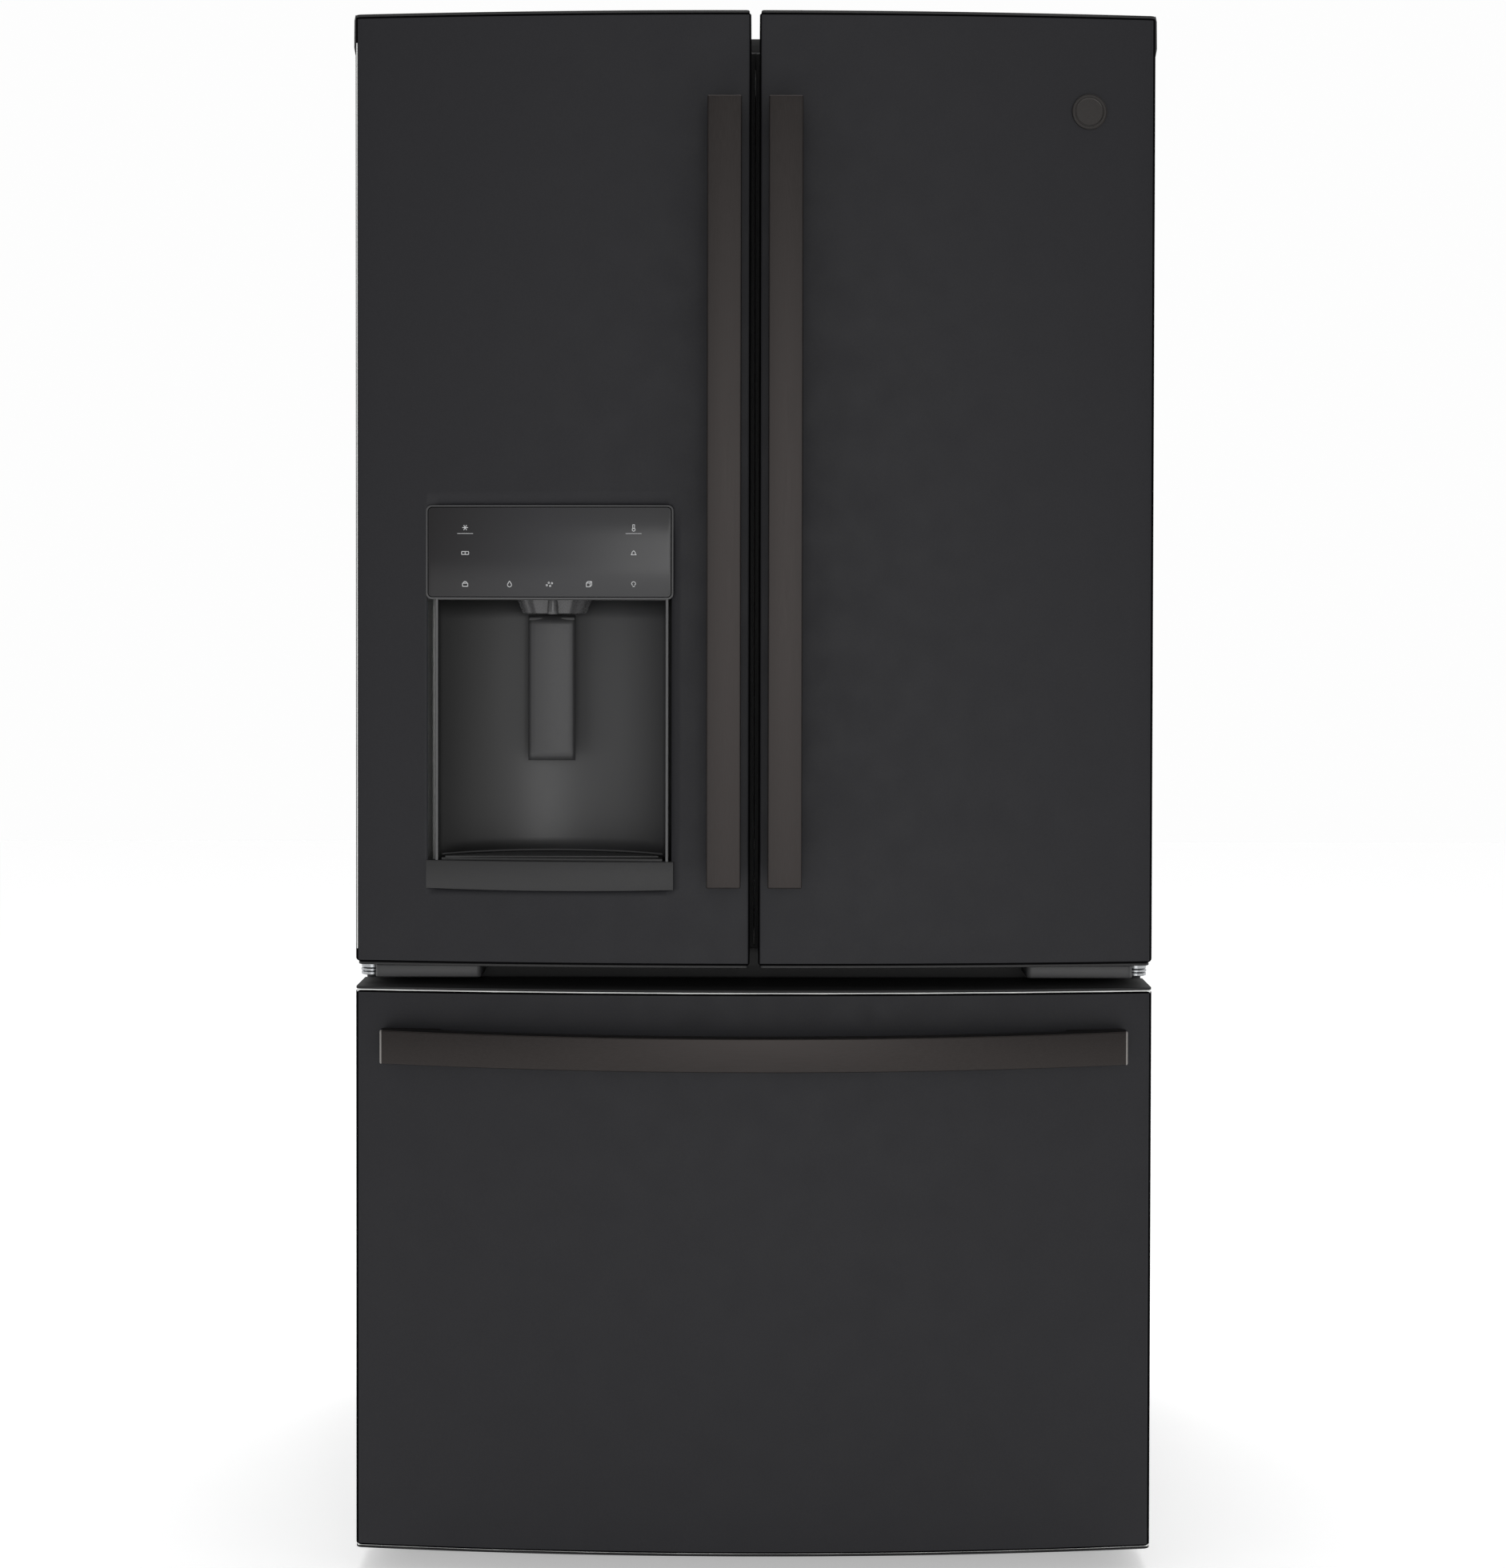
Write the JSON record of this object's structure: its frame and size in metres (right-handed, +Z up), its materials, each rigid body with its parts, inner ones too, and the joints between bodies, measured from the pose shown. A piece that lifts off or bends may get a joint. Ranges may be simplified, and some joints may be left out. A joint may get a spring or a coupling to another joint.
{
  "type": "french door refrigerator",
  "caption": "French door refrigerator with bowed doors, bottom freezer drawer, bar handles and an ice and water dispenser in the left door.",
  "frame": {"origin": "on the floor, under the middle of the outer box", "axes": "+Z up, -Y out of the door fronts, +X to the right as seen from the front"},
  "size_m": [0.908, 0.933, 1.775],
  "materials": {
    "slate_steel": "matte",
    "cabinet_paint": "satin",
    "galvanized": "satin",
    "foam": "matte",
    "white_liner": "satin",
    "black_plastic": "matte",
    "hinge_steel": "satin",
    "handle_bronze": "satin",
    "gasket_vinyl": "matte",
    "clear_plastic": "gloss",
    "shelf_glass": "gloss",
    "dark_plastic": "satin",
    "panel_glass": "gloss",
    "smoke_plastic": "satin",
    "aluminium_fins": "satin",
    "copper": "satin",
    "compressor_black": "satin",
    "rail_steel": "satin",
    "white_plastic": "satin",
    "roller_nylon": "satin",
    "basket_steel": "satin",
    "badge_metal": "satin",
    "frame_steel": "matte"
  },
  "bodies": {
    "cabinet": {"outer_case": "cabinet_paint", "rear_panel": "galvanized", "cabinet_foam": "foam", "fresh_liner": "white_liner", "freezer_liner": "white_liner", "center_rail": "cabinet_paint", "base_frame": "frame_steel", "toe_grille": "black_plastic", "machine_cover": "frame_steel", "leveling_legs": "frame_steel", "hinges": "hinge_steel", "hinge_covers": "black_plastic", "compressor": "compressor_black", "condenser": "compressor_black", "evaporator": "aluminium_fins", "evaporator_cover": "white_plastic", "drain_pan": "dark_plastic", "refrigerant_lines": "copper", "water_valve": "white_plastic", "shelf_tracks": "rail_steel", "shelf_frames": "white_plastic", "shelf_glass": "shelf_glass", "freezer_rails": "rail_steel", "ice_maker": "white_plastic"},
    "left_door": {"left_door_skin": "slate_steel", "left_inner_door": "white_liner", "left_door_caps": "black_plastic", "left_handle": "handle_bronze", "left_gasket": "gasket_vinyl", "left_door_bins": "clear_plastic", "dispenser_well": "dark_plastic", "dispenser_panel": "panel_glass", "dispenser_spout": "smoke_plastic", "drip_tray": "black_plastic", "ice_bucket": "white_plastic"},
    "right_door": {"right_door_skin": "slate_steel", "right_inner_door": "white_liner", "right_door_caps": "black_plastic", "right_handle": "handle_bronze", "right_gasket": "gasket_vinyl", "right_door_bins": "clear_plastic", "badge": "badge_metal"},
    "freezer_drawer": {"drawer_skin": "slate_steel", "drawer_inner": "white_liner", "drawer_handle": "handle_bronze", "drawer_gasket": "gasket_vinyl", "drawer_basket": "basket_steel", "drawer_rails": "rail_steel"},
    "rail_mids": {"rail_mids": "rail_steel"},
    "upper_basket": {"upper_basket": "basket_steel"},
    "crisper_left": {"crisper_left": "clear_plastic"},
    "crisper_right": {"crisper_right": "clear_plastic"},
    "deli_drawer": {"deli_drawer": "clear_plastic"},
    "water_filter": {"water_filter": "white_plastic"},
    "condenser_fan": {"condenser_fan": "dark_plastic"},
    "evaporator_fan": {"evaporator_fan": "white_plastic"},
    "front_rollers": {"front_rollers": "roller_nylon"},
    "rear_rollers": {"rear_rollers": "roller_nylon"},
    "dispenser_paddle": {"dispenser_paddle": "dark_plastic"},
    "mullion_flap": {"mullion_flap": "dark_plastic"}
  },
  "joints": [
    {"name": "left_door_hinge", "type": "hinge", "parent": "cabinet", "child": "left_door", "pos_m": [-0.44, -0.3275, 1.2], "axis": [0, 0, -1], "range_deg": [0, 120]},
    {"name": "right_door_hinge", "type": "hinge", "parent": "cabinet", "child": "right_door", "pos_m": [0.44, -0.3275, 1.2], "axis": [0, 0, 1], "range_deg": [0, 120]},
    {"name": "mullion_flap_hinge", "type": "hinge", "parent": "left_door", "child": "mullion_flap", "pos_m": [-0.038, -0.2819, 1.2], "axis": [0, 0, -1], "range_deg": [0, 90]},
    {"name": "dispenser_paddle_push", "type": "hinge", "parent": "left_door", "child": "dispenser_paddle", "pos_m": [-0.231, -0.3545, 1.086], "axis": [1, 0, 0], "range_deg": [0, 8], "stiffness_Nm_per_rad": 0.6, "springref_deg": -5.73},
    {"name": "freezer_drawer_slide", "type": "slide", "parent": "cabinet", "child": "freezer_drawer", "axis": [0, -1, 0], "range_m": [0, 0.43]},
    {"name": "rail_mids_slide", "type": "slide", "parent": "cabinet", "child": "rail_mids", "axis": [0, -1, 0], "range_m": [0, 0.215]},
    {"name": "upper_basket_slide", "type": "slide", "parent": "freezer_drawer", "child": "upper_basket", "axis": [0, 1, 0], "range_m": [0, 0.15]},
    {"name": "crisper_left_slide", "type": "slide", "parent": "cabinet", "child": "crisper_left", "axis": [0, -1, 0], "range_m": [0, 0.07]},
    {"name": "crisper_right_slide", "type": "slide", "parent": "cabinet", "child": "crisper_right", "axis": [0, -1, 0], "range_m": [0, 0.07]},
    {"name": "deli_drawer_slide", "type": "slide", "parent": "cabinet", "child": "deli_drawer", "axis": [0, -1, 0], "range_m": [0, 0.07]},
    {"name": "water_filter_turn", "type": "hinge", "parent": "cabinet", "child": "water_filter", "pos_m": [0.35, -0.06, 1.657], "axis": [0, 1, 0], "range_deg": [0, 90]},
    {"name": "condenser_fan_spin", "type": "hinge", "parent": "cabinet", "child": "condenser_fan", "pos_m": [-0.1, 0.3515, 0.16], "axis": [1, 0, 0], "continuous": true},
    {"name": "evaporator_fan_spin", "type": "hinge", "parent": "cabinet", "child": "evaporator_fan", "pos_m": [0, 0.337, 0.58], "axis": [0, 1, 0], "continuous": true},
    {"name": "front_rollers_spin", "type": "hinge", "parent": "cabinet", "child": "front_rollers", "pos_m": [0, -0.2225, 0.02], "axis": [1, 0, 0], "continuous": true},
    {"name": "rear_rollers_spin", "type": "hinge", "parent": "cabinet", "child": "rear_rollers", "pos_m": [0, 0.3965, 0.02], "axis": [1, 0, 0], "continuous": true}
  ],
  "couplings": [
    {"joint": "rail_mids_slide", "follows": "freezer_drawer_slide", "ratio": 0.5}
  ]
}
